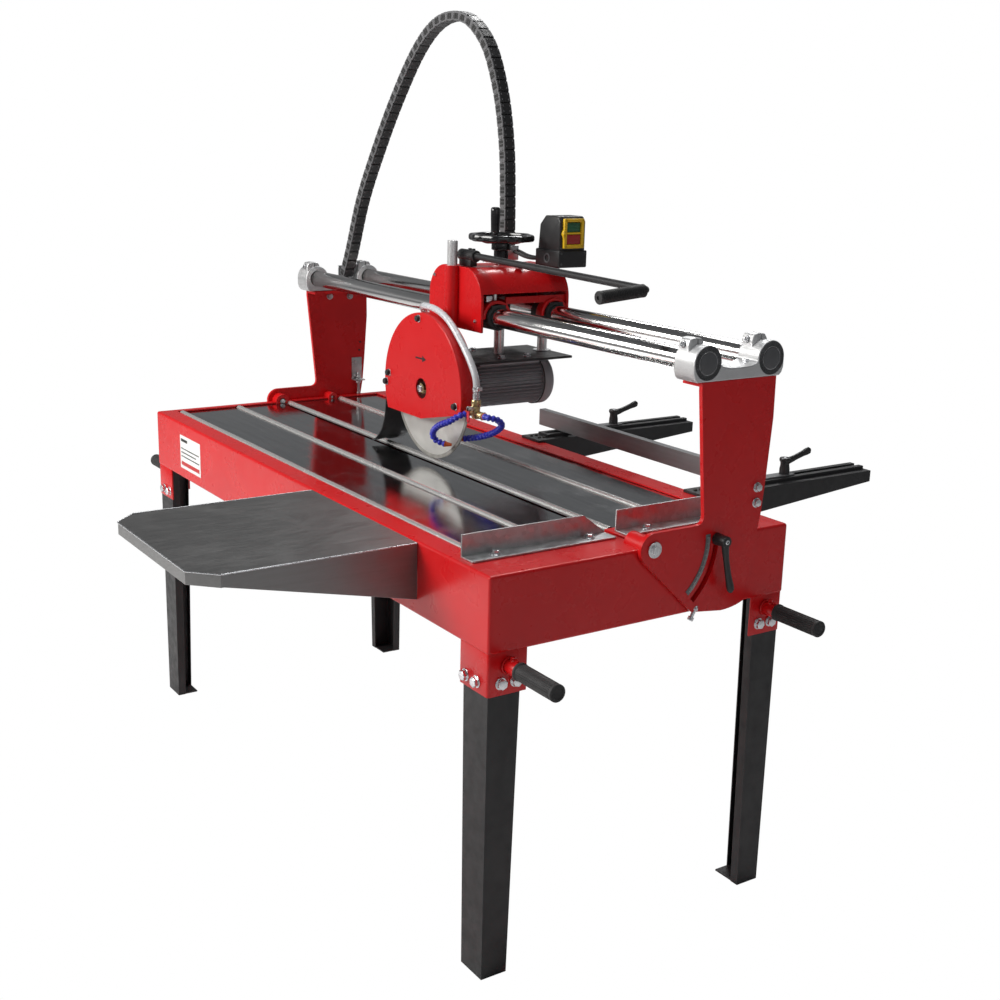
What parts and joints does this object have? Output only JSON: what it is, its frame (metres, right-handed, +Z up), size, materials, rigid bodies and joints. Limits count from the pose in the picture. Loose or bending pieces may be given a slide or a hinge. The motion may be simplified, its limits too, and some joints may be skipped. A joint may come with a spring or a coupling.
{
  "type": "wet tile saw",
  "caption": "Bridge-type wet saw on four legs: a guarded diamond blade and motor slide along two rails over a slotted steel table with a water pan, side table and rear fence.",
  "frame": {"origin": "on the floor, under the centre of the bounding box", "axes": "+X along the cut towards the push-handle end, +Y towards the motor and the rear extension arms, +Z up"},
  "size_m": [2.0664, 1.747, 1.9462],
  "materials": {
    "red_paint": "gloss powder coat",
    "black_paint": "satin powder coat",
    "stainless": "polished sheet",
    "chrome": "hard chrome",
    "zinc_plate": "bright zinc plated",
    "cast_aluminium": "as cast, tumbled",
    "grey_aluminium": "matt anodised",
    "black_plastic": "moulded",
    "black_rubber": "matt",
    "motor_paint": "satin black enamel",
    "blade_steel": "ground",
    "clear_hose": "clear PVC",
    "brass": "nickelled and bare brass",
    "blue_plastic": "moulded",
    "green_plastic": "moulded",
    "red_plastic": "moulded"
  },
  "bodies": {
    "base": {"tub_front_panel": "red_paint", "tub_rear_panel": "red_paint", "tub_left_end": "red_paint", "tub_right_end": "red_paint", "tub_floor": "red_paint", "table_plate_front": "stainless", "table_plate_rear": "stainless", "support_tube_1": "chrome", "support_tube_2": "chrome", "support_tube_3": "chrome", "support_tube_4": "chrome", "leg_front_right": "black_paint", "leg_front_left": "black_paint", "leg_rear_right": "black_paint", "leg_rear_left": "black_paint", "carry_handle_front_right": "black_rubber", "carry_handle_front_left": "black_rubber", "carry_handle_rear_right": "black_rubber", "carry_handle_rear_left": "black_rubber", "side_table": "stainless", "front_angle_stop": "zinc_plate", "rear_angle_stop": "zinc_plate", "extension_arm_left": "black_paint", "extension_arm_right": "black_paint"},
    "fence": {"rear_fence": "grey_aluminium"},
    "fence_lever_left": {"fence_lever_left": "black_plastic"},
    "fence_lever_right": {"fence_lever_right": "black_plastic"},
    "tilt_lock_lever_right": {"tilt_lock_lever_right": "black_plastic"},
    "tilt_lock_lever_left": {"tilt_lock_lever_left": "black_plastic"},
    "bridge": {"upright_right": "red_paint", "upright_left": "red_paint", "rail_clamp_right": "cast_aluminium", "rail_clamp_left": "cast_aluminium", "pivot_bolt_right": "zinc_plate", "pivot_bolt_left": "zinc_plate", "rail_front": "chrome", "rail_rear": "chrome", "cable_chain": "black_plastic"},
    "carriage": {"carriage_body": "red_paint", "rail_bearing_front": "black_plastic", "rail_bearing_rear": "black_plastic", "switch_box": "black_plastic", "push_handle": "black_paint"},
    "start_button": {"start_button": "green_plastic"},
    "stop_button": {"stop_button": "red_plastic"},
    "handwheel": {"handwheel": "black_plastic"},
    "crank_knob": {"crank_knob": "black_plastic"},
    "head": {"guide_column_front": "chrome", "guide_column_rear": "chrome", "lift_nut_tube": "zinc_plate", "motor_plate": "black_paint", "motor": "motor_paint", "blade_guard": "red_paint", "splash_flap": "black_rubber", "water_hose": "clear_hose", "water_valve": "brass", "spray_hose_front": "blue_plastic", "spray_hose_rear": "blue_plastic"},
    "blade": {"diamond_blade": "blade_steel"},
    "valve_lever": {"valve_lever": "red_plastic"}
  },
  "joints": [
    {"name": "bridge_tilt", "type": "hinge", "parent": "base", "child": "bridge", "pos_m": [0, -0.0265, 0.85], "axis": [1, 0, 0], "range_deg": [0, 45], "deforming": ["splash_flap"]},
    {"name": "carriage_slide", "type": "slide", "parent": "bridge", "child": "carriage", "axis": [1, 0, 0], "range_m": [-0.59, 0.68], "deforming": ["cable_chain"]},
    {"name": "handwheel_turn", "type": "hinge", "parent": "carriage", "child": "handwheel", "pos_m": [0.022, 0.1685, 1.39], "axis": [0, 0, 1], "range_deg": [-1810, 6310]},
    {"name": "head_slide", "type": "slide", "parent": "carriage", "child": "head", "axis": [0, 0, 1], "range_m": [-0.02, 0.07], "deforming": ["splash_flap"]},
    {"name": "crank_knob_spin", "type": "hinge", "parent": "handwheel", "child": "crank_knob", "pos_m": [-0.04, 0.1905, 1.43], "axis": [0, 0, 1], "continuous": true},
    {"name": "blade_spin", "type": "hinge", "parent": "head", "child": "blade", "pos_m": [0.022, -0.0265, 1.035], "axis": [0, 1, 0], "continuous": true},
    {"name": "valve_turn", "type": "hinge", "parent": "head", "child": "valve_lever", "pos_m": [0.237, -0.0531, 1.022], "axis": [0, 1, 0], "range_deg": [-90, 0]},
    {"name": "start_press", "type": "slide", "parent": "carriage", "child": "start_button", "axis": [1, 0, 0], "range_m": [-0.003, 0], "stiffness_N_per_m": 800, "springref_m": 0.001},
    {"name": "stop_press", "type": "slide", "parent": "carriage", "child": "stop_button", "axis": [1, 0, 0], "range_m": [-0.003, 0], "stiffness_N_per_m": 800, "springref_m": 0.001},
    {"name": "tilt_lock_right_turn", "type": "hinge", "parent": "base", "child": "tilt_lock_lever_right", "pos_m": [0.9, 0.1385, 0.85], "axis": [1, 0, 0], "range_deg": [-45, 60]},
    {"name": "tilt_lock_left_turn", "type": "hinge", "parent": "base", "child": "tilt_lock_lever_left", "pos_m": [-0.9, 0.1385, 0.85], "axis": [1, 0, 0], "range_deg": [-45, 60]},
    {"name": "fence_slide", "type": "slide", "parent": "base", "child": "fence", "axis": [0, 1, 0], "range_m": [-0.06, 0.22]},
    {"name": "fence_lever_left_turn", "type": "hinge", "parent": "fence", "child": "fence_lever_left", "pos_m": [-0.06, 0.6135, 0.89], "axis": [0, 0, 1], "range_deg": [-90, 90]},
    {"name": "fence_lever_right_turn", "type": "hinge", "parent": "fence", "child": "fence_lever_right", "pos_m": [0.602, 0.6135, 0.89], "axis": [0, 0, 1], "range_deg": [-90, 90]}
  ],
  "couplings": [
    {"joint": "handwheel_turn", "follows": "head_slide", "rad_per_m": 1570.8}
  ]
}
